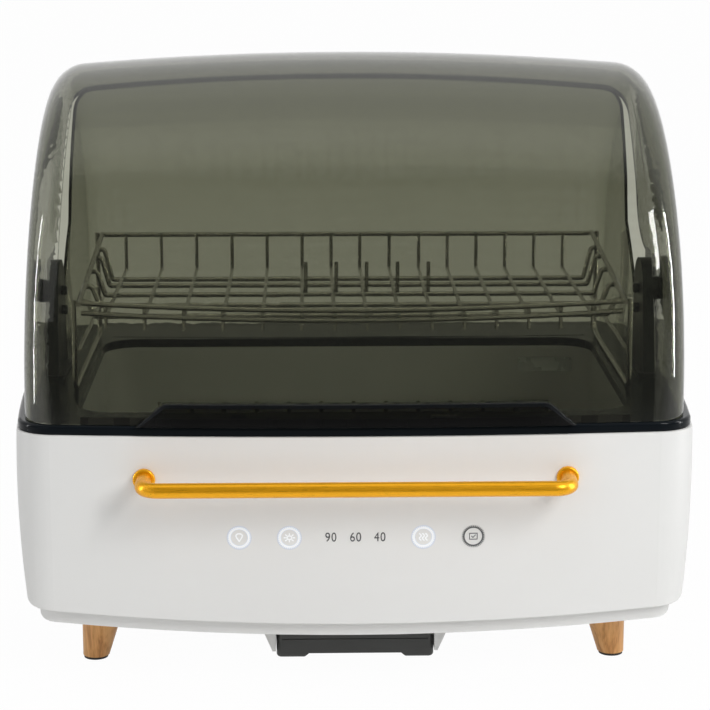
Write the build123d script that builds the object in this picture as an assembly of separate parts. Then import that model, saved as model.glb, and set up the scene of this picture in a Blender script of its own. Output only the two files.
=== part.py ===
from build123d import *
import math
import os

os.makedirs("parts", exist_ok=True)

# Counter-top dish sterilizer. Millimetres, +Z up, +X to the right, the front faces -Y.
# The origin is on the floor, under the middle of the outside box.

# ---------------------------------------------------------------- case
case_half_width = 240.5
case_side_bow = 10.0
case_depth = 375.0
case_top = 189.0
case_foot_half_width = 236.5
case_bulge = 1.5
case_wall = 2.6
front_bow = 11.6
corner_front = 30.0
corner_back = 24.0
seam_z = 51.0
seam_sag = 10.5
case_low_corner = 7.0
seam_gap = 0.3
flange_width = 12.0

pan_inset = 9.0
pan_lip = 11.3
pan_floor = 2.6
pan_low_corner = 6.0

# ---------------------------------------------------------------- handle bar and rear gland
bar_reach = 31.0
bar_radius = 5.4
bar_bend = 12.0
bar_post_x = 150.3
bar_z = 158.0
bar_flange_radius = 8.0
bar_flange_height = 3.2
gland_nose = 6.0
gland_radius = 7.0
gland_bore = 3.6
gland_inset = 70.0
gland_rise = 14.0

front_y = -(case_depth + gland_nose - bar_reach) / 2
back_y = front_y + case_depth
gland_x = case_half_width - gland_inset
gland_z = seam_z + seam_sag + gland_rise

# ---------------------------------------------------------------- frame
frame_height = 7.0
frame_inset = 0.6
frame_round = 2.4
frame_skirt = 5.0
skirt_wall = 2.0
fit_gap = 0.3

# ---------------------------------------------------------------- tub
tub_rack_ledge = 3.0
tub_front = 50.0
tub_back = 305.0
tub_depth = 92.0
tub_wall = 2.0
tub_corner = 26.0
tub_floor_round = 9.0
tub_flange = 11.0

# ---------------------------------------------------------------- lid and rear cover
hinge_back = 187.0
hinge_rise = 71.0
lid_inset = 3.5
lid_wall = 3.0
lid_side_inset = 4.7
lid_taper = 23.8
cheek_radius = 1250.0
lid_corner = 27.0
lid_rear = 86.0
lid_rear_rise = 20.0
lid_rear_round = 30.0
lid_lift = 0.4
cover_gap = 3.0
cover_wall = 2.5
cover_front = 72.0
cover_step = 30.0
cover_step_low = -8.0
cover_step_high = 42.0

grip_half_width = 155.0
grip_top_half_width = 136.0
grip_height = 17.0
grip_out = 6.5

# ---------------------------------------------------------------- hinge
post_front = 36.0
post_back = 26.0
post_hub = 24.0
post_thickness = 10.0
post_gap = 1.0
post_foot = 4.0
post_screw_length = 12.0
post_foot_height = 4.0
pin_radius = 5.0
pin_play = 0.06
hub_radius = 9.0
cap_radius = 21.0
cap_thickness = 3.0
cap_gap = 0.35
knob_radius = 3.8
knob_height = 4.5
knob_drop = 15.3

# ---------------------------------------------------------------- touch row
row_z = 115.5
ring_radius = 8.0
ring_band = 2.1
ring_inner_x = 47.7
ring_outer_x = 83.4
ring_x = (-ring_outer_x, -ring_inner_x, ring_inner_x, ring_outer_x)
board_thickness = 1.6
touch_half_width = 104.0
touch_height = 34.0
touch_gap = 5.0

# ---------------------------------------------------------------- feet
foot_inset = 51.8
foot_lean = 5.8
foot_front = 77.5
foot_back = 300.0
foot_top = 39.0
foot_top_radius = 15.6
foot_low_radius = 9.8
pad_height = 2.0
screw_radius = 2.2
screw_head = 4.0
screw_head_height = 2.2
screw_play = 0.2

# ---------------------------------------------------------------- drip tray and rails
land_drop = 0.6
tray_half_width = 58.0
tray_front = 40.0
tray_length = 240.0
tray_low = 11.0
tray_head_room = 1.0
tray_wall = 1.8
tray_lip = 3.0
tray_lip_height = 2.0
tray_play = 0.4
notch_half_width = 39.0
notch_height = 3.3
notch_depth = 9.0
groove_rise = 14.0
rail_width = 10.6
rail_low = 16.6

# ---------------------------------------------------------------- air and light
fan_x = 118.0
fan_back = 215.0
fan_size = 92.0
fan_height = 25.0
fan_rise = 3.0
board_rise = 11.0
fan_hub = 19.0
fan_bore = 43.0
fan_tip_gap = 1.2
fan_blades = 7
motor_radius = 15.0
shaft_radius = 2.0
heater_wall = 2.0
heater_fins = 12
collar_height = 10.0
grille_size = 90.0
grille_thickness = 2.4
grille_slots = 9
uv_x = 170.0
uv_half_width = 33.0
uv_height = 20.0
uv_drop = 6.0
lamp_radius = 7.0
spout_radius = 6.0
spout_bore = 4.5
spout_back = 120.0

# ---------------------------------------------------------------- racks
rail_wire = 2.0
wire = 1.5
rack_side_gap = 10.0
rack_front = 117.0
rack_back = 316.0
rack_floor_rise = 61.0
rack_front_rise = 75.0
rack_back_rise = 93.0
rack_second_drop = 7.5
rack_front_bow = 12.0
rack_front_sag = 4.0
rack_tooth_drop = 6.0
rack_split_x = -38.0
rack_left_pitch = 29.3
rack_left_count = 5
rack_right_pitch = 24.2
rack_right_count = 10
rack_cross_shares = (0.08, 0.29, 0.51, 0.71, 0.85)
rack_bend_in = 15.0
leg_mid_rise = 40.0
leg_bend = 8.0
prong_count = 5
prong_height = 24.0
prong_row = 2
lower_rise = 22.0
lower_side_gap = 20.0
lower_front = 95.0
lower_back = 265.0
lower_pitch = 26.0
lower_count = 13
lower_prong = 40.0
lower_prong_in = 40.0

# ---------------------------------------------------------------- derived places
frame_top = case_top + frame_height
hinge_y = front_y + hinge_back
hinge_z = case_top + hinge_rise
lid_radius = hinge_back - lid_inset
lid_low = frame_top + lid_lift
lid_drop = hinge_z - lid_low
lid_foot_half_width = case_half_width + case_side_bow - lid_side_inset
lid_crest_half_width = lid_foot_half_width - lid_taper

# Each cheek of the lid is part of a large ball, whose middle lies a little below the hinge axis.
cheek_fall = (2 * cheek_radius * lid_taper / (lid_radius + lid_drop) - lid_radius + lid_drop) / 2
cheek_x = lid_crest_half_width - math.sqrt(cheek_radius ** 2 - (lid_radius + cheek_fall) ** 2)

cover_radius = lid_radius - lid_wall - cover_gap
cover_half_width = lid_crest_half_width - lid_wall - cover_gap
cover_cheek_x = cover_half_width - math.sqrt(cheek_radius ** 2 - cover_radius ** 2)


def cheek_at(rise, inset=0.0):
    """Half width of the lid's cheek in the plane of the hinge, `rise` above its axis."""
    return cheek_x + math.sqrt((cheek_radius - inset) ** 2 - (rise + cheek_fall) ** 2)


post_reach = math.hypot(post_front, hinge_z - frame_top)
post_outer = cheek_at(post_reach, lid_wall) - post_gap
post_inner = post_outer - post_thickness
cap_inner = cheek_at(-cap_radius) + cap_gap

rack_half_width = post_inner - knob_height - rack_side_gap - 3 * rail_wire
tub_half_width = rack_half_width - tub_rack_ledge
lower_half_width = tub_half_width - lower_side_gap
rack_cross = [rack_front + share * (rack_back - rack_front) for share in rack_cross_shares]

tub_floor_z = case_top - tub_depth
pan_low = seam_z - seam_gap - pan_lip
foot_x = case_half_width - foot_inset
land_z = pan_low - land_drop
tray_top = land_z - tray_head_room
fan_low = seam_z + fan_rise
board_z = seam_z + board_rise
SPAN = 400.0


def bow_at(x, inset=0.0):
    """How far the bowed front lies behind its middle, at x."""
    radius = (case_half_width ** 2 + front_bow ** 2) / (2 * front_bow) - inset
    return radius - math.sqrt(radius ** 2 - x ** 2)


def front_at(x, inset=0.0):
    return front_y + inset + bow_at(x, inset)


def cylinder_x(radius, x0, x1, y, z):
    middle = Pos((x0 + x1) / 2, y, z) * Rot(0, 90, 0)
    return middle * Cylinder(radius, abs(x1 - x0))


def cylinder_y(radius, x, y0, y1, z):
    middle = Pos(x, (y0 + y1) / 2, z) * Rot(90, 0, 0)
    return middle * Cylinder(radius, abs(y1 - y0))


def cylinder_z(radius, x, y, z0, z1):
    return Pos(x, y, (z0 + z1) / 2) * Cylinder(radius, abs(z1 - z0))


def box_between(x0, x1, y0, y1, z0, z1):
    middle = Pos((x0 + x1) / 2, (y0 + y1) / 2, (z0 + z1) / 2)
    return middle * Box(abs(x1 - x0), abs(y1 - y0), abs(z1 - z0))


def both_sides(solid):
    return [solid, mirror(solid, about=Plane.YZ)]


# ---------------------------------------------------------------- case forms
def side_ends(inset):
    """Half width at the ends of the bowed sides, and where they start and end."""
    w = case_half_width + case_bulge - inset
    return w, front_at(w, inset), back_y - inset


def plan_face(inset, z):
    """Plan outline of the case: bowed front and sides, straight back."""
    w, ye, yb = side_ends(inset)
    widest = w + case_side_bow
    middle = (ye + yb) / 2
    outline = [
        ThreePointArc((w, ye), (0, front_y + inset), (-w, ye)),
        ThreePointArc((-w, ye), (-widest, middle), (-w, yb)),
        Line((-w, yb), (w, yb)),
        ThreePointArc((w, yb), (widest, middle), (w, ye)),
    ]
    face = make_face(outline)
    front_pair = face.vertices().sort_by(Axis.Y)[:2]
    face = fillet(front_pair, max(corner_front - inset, 2.0))
    back_pair = face.vertices().sort_by(Axis.Y)[-2:]
    face = fillet(back_pair, max(corner_back - inset, 2.0))
    return Pos(0, 0, z) * face


def plan_prism(inset, z0, z1):
    return extrude(plan_face(inset, z0), z1 - z0)


def bottom_at(x, low):
    """Height of the sagging bottom edge of the case at x."""
    half = case_foot_half_width + case_side_bow
    radius = (half ** 2 + seam_sag ** 2) / (2 * seam_sag)
    return seam_z - low + radius - math.sqrt(radius ** 2 - x ** 2)


def side_band(inset, low, corner):
    """All that lies inside the right side of the case, which is barrelled, bowed and round below."""
    wt = case_half_width + case_side_bow - inset
    wm = wt + case_bulge / 3
    wb = case_foot_half_width + case_side_bow - inset
    far = -wt - 2 * case_side_bow
    top = case_top + 30
    foot = bottom_at(wb - corner, low) - 0.3
    widest_z = (case_top + seam_z) / 2 + 12
    slant = corner * math.sin(math.pi / 4)
    outline = [
        Line((far, 0), (wb - corner, 0)),
        Line((wb - corner, 0), (wb - corner, foot)),
        ThreePointArc((wb, foot + corner), (wm, widest_z), (wt, case_top)),
        Line((wt, case_top), (wt, top)),
        Line((wt, top), (far, top)),
        Line((far, top), (far, 0)),
    ]
    if corner > 0:
        bend = (wb - corner + slant, foot + corner - slant)
        outline.append(ThreePointArc((wb - corner, foot), bend, (wb, foot + corner)))

    w, ye, yb = side_ends(0)
    reach = (yb - ye) / 2
    radius = (reach ** 2 + case_side_bow ** 2) / (2 * case_side_bow)
    middle = (ye + yb) / 2
    axis = Axis((w + case_side_bow - radius, middle, 0), (0, 0, 1))
    turn = math.degrees(math.asin((reach + 2 * front_bow) / (radius - 2 * w - 4 * case_side_bow)))
    section = Pos(0, middle, 0) * (Plane.XZ * make_face(outline))
    return revolve(section, axis, 2 * turn).rotate(axis, -turn)


def case_block(inset, low, corner, z_top):
    band = side_band(inset, low, corner)
    reach = case_half_width + 3 * case_side_bow
    end = bottom_at(reach, low)
    bottom = make_face([
        ThreePointArc((-reach, end), (0, seam_z - low), (reach, end)),
        Line((reach, end), (reach, SPAN)),
        Line((reach, SPAN), (-reach, SPAN)),
        Line((-reach, SPAN), (-reach, end)),
    ])
    above = extrude(Plane.XZ * bottom, SPAN, both=True)
    return plan_prism(inset, 0, z_top) & band & mirror(band, about=Plane.YZ) & above


def make_case_outer():
    return case_block(0, 0, case_low_corner, case_top)


def make_case_inner():
    return case_block(case_wall, -case_wall, case_low_corner - case_wall, case_top + 20)


def vent_slots():
    """Two rows of upright air slots in the back wall."""
    slots = []
    for row in range(2):
        for i in range(14):
            x = -140 + i * 9.0
            z = 78 + row * 34
            slot = Pos(x, back_y, z) * Rot(90, 0, 0) * extrude(SlotOverall(26, 4, rotation=90), 12, both=True)
            slots.append(slot)
    return slots


def make_housing(outer, inner):
    bottom_hole = plan_prism(pan_inset + flange_width, 0, seam_z + seam_sag + 20)
    bottom_hole = bottom_hole & box_between(-SPAN, SPAN, -SPAN, SPAN, 0, seam_z + seam_sag + 2)
    shell = outer - inner - bottom_hole
    for slot in vent_slots():
        shell -= slot
    for x in ring_x:
        shell -= cylinder_y(ring_radius, x, front_y - 5, front_y + 20, row_z)
        shell += ring_core(outer, inner, x)
    for side in (-1, 1):
        shell -= cylinder_y(screw_radius, side * bar_post_x, front_y - 5, front_y + 20, bar_z)
    shell -= cylinder_y(gland_radius, gland_x, back_y - 10, back_y + 5, gland_z)
    return shell


def ring_core(outer, inner, x):
    """The disc of wall left inside one light ring, tied in by three spokes behind it."""
    core_radius = ring_radius - ring_band
    zone = cylinder_y(core_radius, x, front_y - 5, front_y + 20, row_z)
    core = (outer & zone) - inner
    tie = box_between(x - 1, x + 1, front_y, front_y + 20, row_z - ring_radius - 1, row_z + ring_radius + 1)
    skin = plan_prism(case_wall * 0.55, 0, case_top)
    tie = (tie & skin & outer) - inner
    return core + tie


def make_light_rings(outer, inner):
    rings = []
    skin = plan_prism(case_wall * 0.55, 0, case_top)
    for x in ring_x:
        zone = cylinder_y(ring_radius - 0.05, x, front_y - 5, front_y + 20, row_z)
        zone -= cylinder_y(ring_radius - ring_band + 0.05, x, front_y - 6, front_y + 21, row_z)
        ring = (zone & outer) - inner
        tie = box_between(x - 1.1, x + 1.1, front_y - 1, front_y + 20, row_z - 20, row_z + 20)
        rings.append(ring - (tie & skin))
    return rings


def make_bottom_pan():
    outside = case_block(pan_inset, seam_gap + pan_lip, pan_low_corner, case_top)
    above = case_block(-5, seam_gap, 0, case_top + 5)
    pan = outside - above
    hollow = case_block(pan_inset + pan_floor, seam_gap + pan_lip - pan_floor, 1.0, case_top)
    pan -= hollow
    for x, y in foot_places():
        boss = cylinder_z(foot_top_radius + 1, x, y, foot_top, seam_z + 4)
        pan += boss - hollow
        pan -= cylinder_z(screw_radius + screw_play, x, y, 0, 60)
    land = box_between(
        -tray_half_width - rail_width - 3, tray_half_width + rail_width + 3,
        front_y + tray_front - 6, front_y + tray_front + tray_length + 6, land_z, seam_z,
    )
    pan += land - hollow
    pan -= cylinder_z(spout_radius + fit_gap, 0, front_y + spout_back, 0, 60)
    return pan


def pan_floor_cut():
    """Everything below the inside floor of the pan, to seat what stands on it."""
    below = box_between(-SPAN, SPAN, -SPAN, SPAN, 0, seam_z + seam_sag)
    hollow = case_block(pan_inset + pan_floor, seam_gap + pan_lip - pan_floor, 1.0, case_top)
    return below - hollow


# ---------------------------------------------------------------- frame and tub
def opening_face(grow, z):
    half = tub_half_width + grow
    y0 = front_y + tub_front - grow
    y1 = front_y + tub_back + grow
    face = Rectangle(2 * half, y1 - y0)
    face = fillet(face.vertices(), tub_corner + grow)
    return Pos(0, (y0 + y1) / 2, z) * face


def make_top_frame():
    plate = plan_prism(frame_inset + case_bulge, case_top, frame_top)
    rim = plate.edges().filter_by(lambda e: abs(e.center().Z - frame_top) < 0.01)
    plate = fillet(rim, frame_round)
    low = plate.edges().filter_by(lambda e: abs(e.center().Z - case_top) < 0.01)
    plate = fillet(low, frame_round * 0.6)
    skirt_out = case_wall + case_bulge + fit_gap
    skirt = plan_prism(skirt_out, case_top - frame_skirt, case_top)
    skirt -= plan_prism(skirt_out + skirt_wall, case_top - frame_skirt - 1, case_top + 1)
    frame = plate + skirt
    frame -= extrude(opening_face(0, case_top - 1), frame_height + 2)
    for y in post_screw_places():
        for side in (-1, 1):
            frame -= cylinder_z(screw_radius + screw_play, side * post_screw_x(), y, case_top - 1, frame_top + 1)
    return frame


def tub_vent_collar(grow, z0, z1):
    half = grille_size / 2 - 4 - grow
    y = front_y + fan_back
    return box_between(fan_x - half, fan_x + half, y - half, y + half, z0, z1)


def make_tub():
    outer = extrude(opening_face(tub_wall, tub_floor_z - tub_wall), tub_depth + tub_wall)
    low = outer.edges().filter_by(lambda e: abs(e.center().Z - tub_floor_z + tub_wall) < 0.01)
    outer = fillet(low, tub_floor_round + tub_wall)
    inner = extrude(opening_face(0, tub_floor_z), tub_depth + 5)
    low = inner.edges().filter_by(lambda e: abs(e.center().Z - tub_floor_z) < 0.01)
    inner = fillet(low, tub_floor_round)
    flange = extrude(opening_face(tub_flange, case_top - tub_wall), tub_wall)
    tub = outer + flange - inner
    tub += tub_vent_collar(0, tub_floor_z - tub_wall, tub_floor_z + collar_height)
    tub -= tub_vent_collar(tub_wall, tub_floor_z - 10, tub_floor_z + collar_height + 5)
    tub -= cylinder_z(spout_bore, 0, front_y + spout_back, tub_floor_z - 10, tub_floor_z + 5)
    top = case_top - uv_drop
    tub -= box_between(
        uv_x - uv_half_width + 6, uv_x + uv_half_width - 12,
        front_y + tub_back - 3, front_y + tub_back + 8, top - uv_height + 4, top - 4,
    )
    return tub


def make_floor_grille():
    half = grille_size / 2
    y = front_y + fan_back
    z = tub_floor_z + collar_height
    plate = box_between(fan_x - half, fan_x + half, y - half, y + half, z, z + grille_thickness)
    plate = fillet(plate.edges().filter_by(Axis.Z), 8)
    pitch = (grille_size - 16) / grille_slots
    for i in range(grille_slots):
        x = fan_x - half + 8 + pitch * (i + 0.5)
        slot = Pos(x, y, z - 1) * extrude(SlotOverall(grille_size - 20, 4, rotation=90), grille_thickness + 2)
        plate -= slot
    return plate


# ---------------------------------------------------------------- dome forms
def barrel_face(radius, half_width):
    """Half section through the hinge axis: crowned by the same bow as the case front."""
    bow = bow_at(half_width)
    outline = [
        Line((-half_width, 0), (half_width, 0)),
        Line((half_width, 0), (half_width, -radius + bow)),
        ThreePointArc((half_width, -radius + bow), (0, -radius), (-half_width, -radius + bow)),
        Line((-half_width, -radius + bow), (-half_width, 0)),
    ]
    return make_face(outline)


def dome_form(radius, cheek, corner, drop):
    """A crowned drum turned about the hinge axis, with a straight skirt, between two ball cheeks."""
    ball_radius, ball_x, ball_fall = cheek
    wide = ball_radius + ball_x + 6
    face = barrel_face(radius, wide)
    drum = revolve(face, Axis.X, 180)
    if drum.bounding_box().max.Z < 1:
        drum = revolve(face, Axis.X, -180)
    whole = face + mirror(face, about=Plane.XZ)
    form = drum + extrude(whole, -drop)
    for side, turn in ((1, 180), (-1, 0)):
        form = form & Pos(side * ball_x, 0, -ball_fall) * Rot(0, 0, turn) * Sphere(ball_radius)
    return Pos(0, hinge_y, hinge_z) * round_sides(form, corner)


def round_sides(form, corner):
    """Round the long edge between the dome and each cheek."""
    edges = []
    for edge in form.edges():
        box = edge.bounding_box()
        cheek = min(abs(box.min.X), abs(box.max.X)) > cover_half_width - 2 * corner
        flat_low = box.max.Z - box.min.Z < 1
        across = box.max.X - box.min.X > 2 * lid_taper
        if cheek and not flat_low and not across:
            edges.append(edge)
    return fillet(edges, corner)


def side_cut(points, rounds):
    """A side outline, in distances from the hinge axis, as a slab across the whole width."""
    face = make_face(Polyline(*points, close=True))
    for (y, z), radius in rounds:
        spot = [v for v in face.vertices() if abs(v.X - y) < 0.01 and abs(v.Y - z) < 0.01]
        face = fillet(spot, radius)
    return Pos(0, hinge_y, hinge_z) * extrude(Plane.YZ * face, SPAN, both=True)


def lid_outline():
    top = lid_radius + 30
    points = [
        (-top, -lid_drop), (0, -lid_drop), (0, lid_rear_rise), (lid_rear, lid_rear_rise),
        (lid_rear, top), (-top, top),
    ]
    slab = side_cut(points, [((lid_rear, lid_rear_rise), lid_rear_round)])
    disc = cylinder_x(lid_drop, -SPAN, SPAN, hinge_y, hinge_z)
    return slab + disc


def lid_body(inset):
    cheek = (cheek_radius - inset, cheek_x, cheek_fall)
    return dome_form(lid_radius - inset, cheek, lid_corner - inset, lid_drop + max(inset, 0))


def make_lid_shell():
    outer = lid_body(0)
    inner = lid_body(lid_wall)
    shell = (outer - inner) & lid_outline()
    shell = shell & box_between(-SPAN, SPAN, -SPAN, SPAN, lid_low, SPAN * 2)
    shell += make_grip(outer)
    for side in (-1, 1):
        shell -= cylinder_x(hub_radius, side * post_inner, side * (cap_inner + 10), hinge_y, hinge_z)
    return shell


def make_grip(outer):
    """The moulded finger grip along the foot of the lid front."""
    side = Polyline(
        (-grip_half_width, lid_low), (grip_half_width, lid_low),
        (grip_top_half_width, lid_low + grip_height), (-grip_top_half_width, lid_low + grip_height),
        close=True,
    )
    face = make_face(side)
    face = fillet([v for v in face.vertices() if v.Y > lid_low + 1], 5)
    slab = extrude(Plane.XZ * face, SPAN, both=True)
    slab = slab & box_between(-SPAN, SPAN, -SPAN, front_y + 40, 0, SPAN)
    bowed = plan_prism(lid_inset - grip_out, lid_low, lid_low + grip_height + 1)
    grip = (bowed & slab) - outer
    return grip


def make_lid_hubs():
    hub = cylinder_x(hub_radius - 0.02, post_outer + 0.35, cap_inner - 0.35, hinge_y, hinge_z)
    hub -= cylinder_x(pin_radius + pin_play, post_outer - 5, cap_inner + 5, hinge_y, hinge_z)
    return both_sides(hub)


def make_lid_seal():
    """A soft strip inside the foot of the lid front."""
    outer = lid_body(lid_wall + 0.02)
    inner = lid_body(lid_wall + 2.2)
    half = lid_crest_half_width - lid_corner
    strip = (outer - inner) & box_between(-half, half, -SPAN, front_y + 40, lid_low, lid_low + 5)
    return strip


def make_lid_magnet():
    x = 62.0
    y = front_y + lid_inset + lid_wall + 3.0 + bow_at(x)
    return box_between(x - 9, x + 9, y, y + 4, lid_low + 0.6, lid_low + 6)


def cover_form(inset):
    cheek = (cheek_radius - inset, cover_cheek_x, 0)
    corner = lid_corner - lid_wall - cover_gap - inset
    return dome_form(cover_radius - inset, cheek, corner, hinge_z - frame_top + max(inset, 0))


def make_rear_cover():
    drop = hinge_z - frame_top
    top = lid_radius + 30
    points = [
        (cover_step, -drop), (top, -drop), (top, top), (cover_front, top),
        (cover_front, cover_step_high), (cover_step, cover_step_low),
    ]
    outline = side_cut(points, [])
    shell = (cover_form(0) - cover_form(cover_wall)) & outline
    return shell & box_between(-SPAN, SPAN, -SPAN, SPAN, frame_top, SPAN * 2)


# ---------------------------------------------------------------- hinge parts
def make_hinge_post():
    drop = hinge_z - frame_top
    side = make_face(Polyline(
        (-post_front, -drop), (post_back, -drop), (post_hub, 0), (-post_hub, 0), close=True,
    ))
    side = side + Circle(post_hub)
    place = Pos(post_inner, hinge_y, hinge_z)
    post = place * extrude(Plane.YZ * side, post_thickness)
    foot = box_between(
        post_inner - post_foot, post_outer, hinge_y - post_front, hinge_y + post_back,
        frame_top, frame_top + post_foot_height,
    )
    post += foot
    post -= cylinder_x(pin_radius, post_inner - 5, post_outer + 5, hinge_y, hinge_z)
    for y in post_screw_places():
        post -= cylinder_z(screw_radius, post_screw_x(), y, frame_top - 5, frame_top + post_screw_length)
    return post


def post_screw_x():
    return post_inner + post_thickness / 2


def post_screw_places():
    return (hinge_y - post_front + 16, hinge_y + post_back - 12)


def make_post_screws():
    """Screws driven up through the frame into the foot of each post."""
    screws = []
    x = post_screw_x()
    for y in post_screw_places():
        head = cylinder_z(screw_head, x, y, case_top - screw_head_height, case_top)
        shank = cylinder_z(screw_radius - 0.02, x, y, case_top, frame_top + post_screw_length - 1)
        screws += both_sides(head + shank)
    return screws


def make_hinge_pins():
    pin = cylinder_x(pin_radius, post_inner, cap_inner + 1, hinge_y, hinge_z)
    cap = cylinder_x(cap_radius, cap_inner, cap_inner + cap_thickness, hinge_y, hinge_z)
    rim = cap.edges().filter_by(lambda e: e.center().X > cap_inner + cap_thickness - 0.01)
    cap = fillet(rim, 1.2)
    return both_sides(pin + cap)


def make_post_knobs():
    knobs = []
    for drop in (0, knob_drop):
        knob = cylinder_x(knob_radius, post_inner - knob_height, post_inner, hinge_y, hinge_z - drop)
        rim = knob.edges().filter_by(lambda e: e.center().X < post_inner - knob_height + 0.01)
        knobs += both_sides(fillet(rim, 1.5))
    return knobs


# ---------------------------------------------------------------- handle
def make_handle_bar():
    y_bar = front_y - bar_reach + bar_radius
    y_seat = front_at(bar_post_x) + 1
    path = FilletPolyline(
        (-bar_post_x, y_seat, bar_z), (-bar_post_x, y_bar, bar_z),
        (bar_post_x, y_bar, bar_z), (bar_post_x, y_seat, bar_z), radius=bar_bend,
    )
    section = Plane(origin=path @ 0, z_dir=path % 0) * Circle(bar_radius)
    return sweep(section, path=path)


def make_handle_flanges(outer):
    y_seat = front_at(bar_post_x)
    flange = cylinder_y(bar_flange_radius, bar_post_x, y_seat - bar_flange_height, y_seat + 5, bar_z)
    rim = flange.edges().filter_by(lambda e: e.center().Y < y_seat - bar_flange_height + 0.01)
    flange = fillet(rim, 1.5)
    flange -= cylinder_y(bar_radius, bar_post_x, y_seat - 20, y_seat + 20, bar_z)
    return both_sides(flange - outer)


def make_handle_screws(inner):
    y_wall = front_at(bar_post_x, case_wall)
    head = cylinder_y(screw_head, bar_post_x, y_wall - 2, y_wall + screw_head_height, bar_z)
    shank = cylinder_y(screw_radius - 0.05, bar_post_x, front_at(bar_post_x) + 1, y_wall + 1, bar_z)
    return both_sides((head & inner) + shank)


# ---------------------------------------------------------------- feet
def foot_places():
    places = []
    for y in (front_y + foot_front, front_y + foot_back):
        for side in (-1, 1):
            places.append((side * foot_x, y))
    return places


def make_foot(x, y):
    """A turned wooden foot that leans, so that it stands upright outside, cut flat at both ends."""
    side = 1 if x > 0 else -1
    height = foot_top - pad_height
    length = math.hypot(foot_lean, height)
    slim = (foot_top_radius - foot_low_radius) / length
    spare = 8.0
    cone = Cone(foot_low_radius - slim * spare, foot_top_radius + slim * spare, length + 2 * spare)
    tilt = math.degrees(math.atan2(foot_lean, height))
    middle = Pos(x + side * foot_lean / 2, y, pad_height + height / 2)
    foot = middle * Rot(0, -side * tilt, 0) * cone
    foot = foot & box_between(x - SPAN, x + SPAN, y - SPAN, y + SPAN, pad_height, foot_top)
    return foot - cylinder_z(screw_radius, x, y, foot_top - 18, foot_top + 1)


def make_foot_pads():
    pads = []
    for x, y in foot_places():
        side = 1 if x > 0 else -1
        pads.append(cylinder_z(foot_low_radius - 0.8, x + side * foot_lean, y, 0, pad_height))
    return pads


def make_foot_screws():
    screws = []
    floor = pan_floor_cut()
    for x, y in foot_places():
        head_z = seam_z + 2
        shank = cylinder_z(screw_radius - 0.02, x, y, foot_top - 17, head_z)
        head = cylinder_z(screw_head, x, y, foot_top, head_z) - floor
        screws.append(shank + head)
    return screws


# ---------------------------------------------------------------- drip tray
def make_drip_tray():
    y0 = front_y + tray_front
    y1 = y0 + tray_length
    w = tray_half_width
    body = box_between(-w, w, y0, y1, tray_low, tray_top)
    body = fillet(body.edges().filter_by(Axis.Z), 4)
    low = body.edges().filter_by(lambda e: abs(e.center().Z - tray_low) < 0.01)
    body = fillet(low, 2.5)
    inside = box_between(-w + tray_wall, w - tray_wall, y0 + tray_wall + 1.5, y1 - tray_wall, tray_low + tray_wall, 60)
    inside = fillet(inside.edges().filter_by(Axis.Z), 3)
    tray = body - inside
    for side in (-1, 1):
        lip = box_between(
            side * (w - tray_wall), side * (w + tray_lip), y0 + 14, y1,
            tray_top - tray_lip_height, tray_top,
        )
        tray += lip
    notch = make_face(Polyline(
        (-notch_half_width, tray_low - 1), (notch_half_width, tray_low - 1),
        (notch_half_width - 5, tray_low + notch_height), (-notch_half_width + 5, tray_low + notch_height),
        close=True,
    ))
    cut = Pos(0, y0 + notch_depth / 2, 0) * extrude(Plane.XZ * notch, notch_depth / 2 + 1, both=True)
    hood = Pos(0, 0, tray_wall) * cut
    hood = hood & box_between(-w, w, y0 + 1, y0 + notch_depth + 3, tray_low, tray_top - 4)
    groove_z = tray_low + groove_rise
    groove = box_between(-w + 4, w - 4, y0 - 1, y0 + 0.7, groove_z, groove_z + 0.8)
    return tray + hood - cut - groove


def make_tray_rail():
    y0 = front_y + tray_front - 2
    y1 = front_y + tray_front + tray_length
    x0 = tray_half_width + tray_play
    x1 = x0 + rail_width
    rail = box_between(x0, x1, y0, y1, rail_low, land_z)
    nose = make_face(Polyline((x1 + 1, rail_low - 1), (x1 + 1, land_z - 1), (x0 + 2, rail_low - 1), close=True))
    rail -= extrude(Plane.XZ * nose, SPAN, both=True)
    groove = box_between(
        x0 - 1, x0 + tray_lip + tray_play, y0 - 1, y1 + 1,
        tray_top - tray_lip_height - tray_play, tray_top + tray_play,
    )
    return rail - groove


def make_rail_screws():
    screws = []
    x = tray_half_width + tray_play + rail_width - 3
    floor = pan_floor_cut()
    for y in (front_y + tray_front + 30, front_y + tray_front + tray_length - 30):
        head = cylinder_z(screw_head, x, y, land_z, pan_low + pan_floor + screw_head_height) - floor
        screws += both_sides(head)
    return screws


# ---------------------------------------------------------------- electrics and air
def make_touch_board():
    y0 = front_y + case_wall + touch_gap
    return box_between(
        -touch_half_width, touch_half_width, y0, y0 + board_thickness,
        row_z - touch_height / 2, row_z + touch_height / 2,
    )


def make_touch_spacers(inner):
    y1 = front_y + case_wall + touch_gap
    spacers = []
    for dz in (-1, 1):
        z = row_z + dz * (touch_height / 2 - 5)
        post = cylinder_y(3, touch_half_width - 8, front_y - 2, y1, z) & inner
        spacers += both_sides(post)
    return spacers


def stand(radius, x, y, top, floor):
    return cylinder_z(radius, x, y, pan_low, top) - floor


def make_power_board():
    y = front_y + fan_back
    top = board_z + board_thickness
    board = box_between(-170, -60, y - 45, y + 45, board_z, top)
    block = box_between(-160, -128, y - 30, y + 4, top, top + 20)
    coil = cylinder_z(11, -100, y + 10, top, top + 14)
    relay = box_between(-96, -76, y - 36, y - 20, top, top + 13)
    return board + block + coil + relay


def make_board_standoffs(floor):
    y = front_y + fan_back
    return [stand(3.5, x, y + dy, board_z, floor) for x in (-164, -78) for dy in (-39, 39)]


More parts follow.
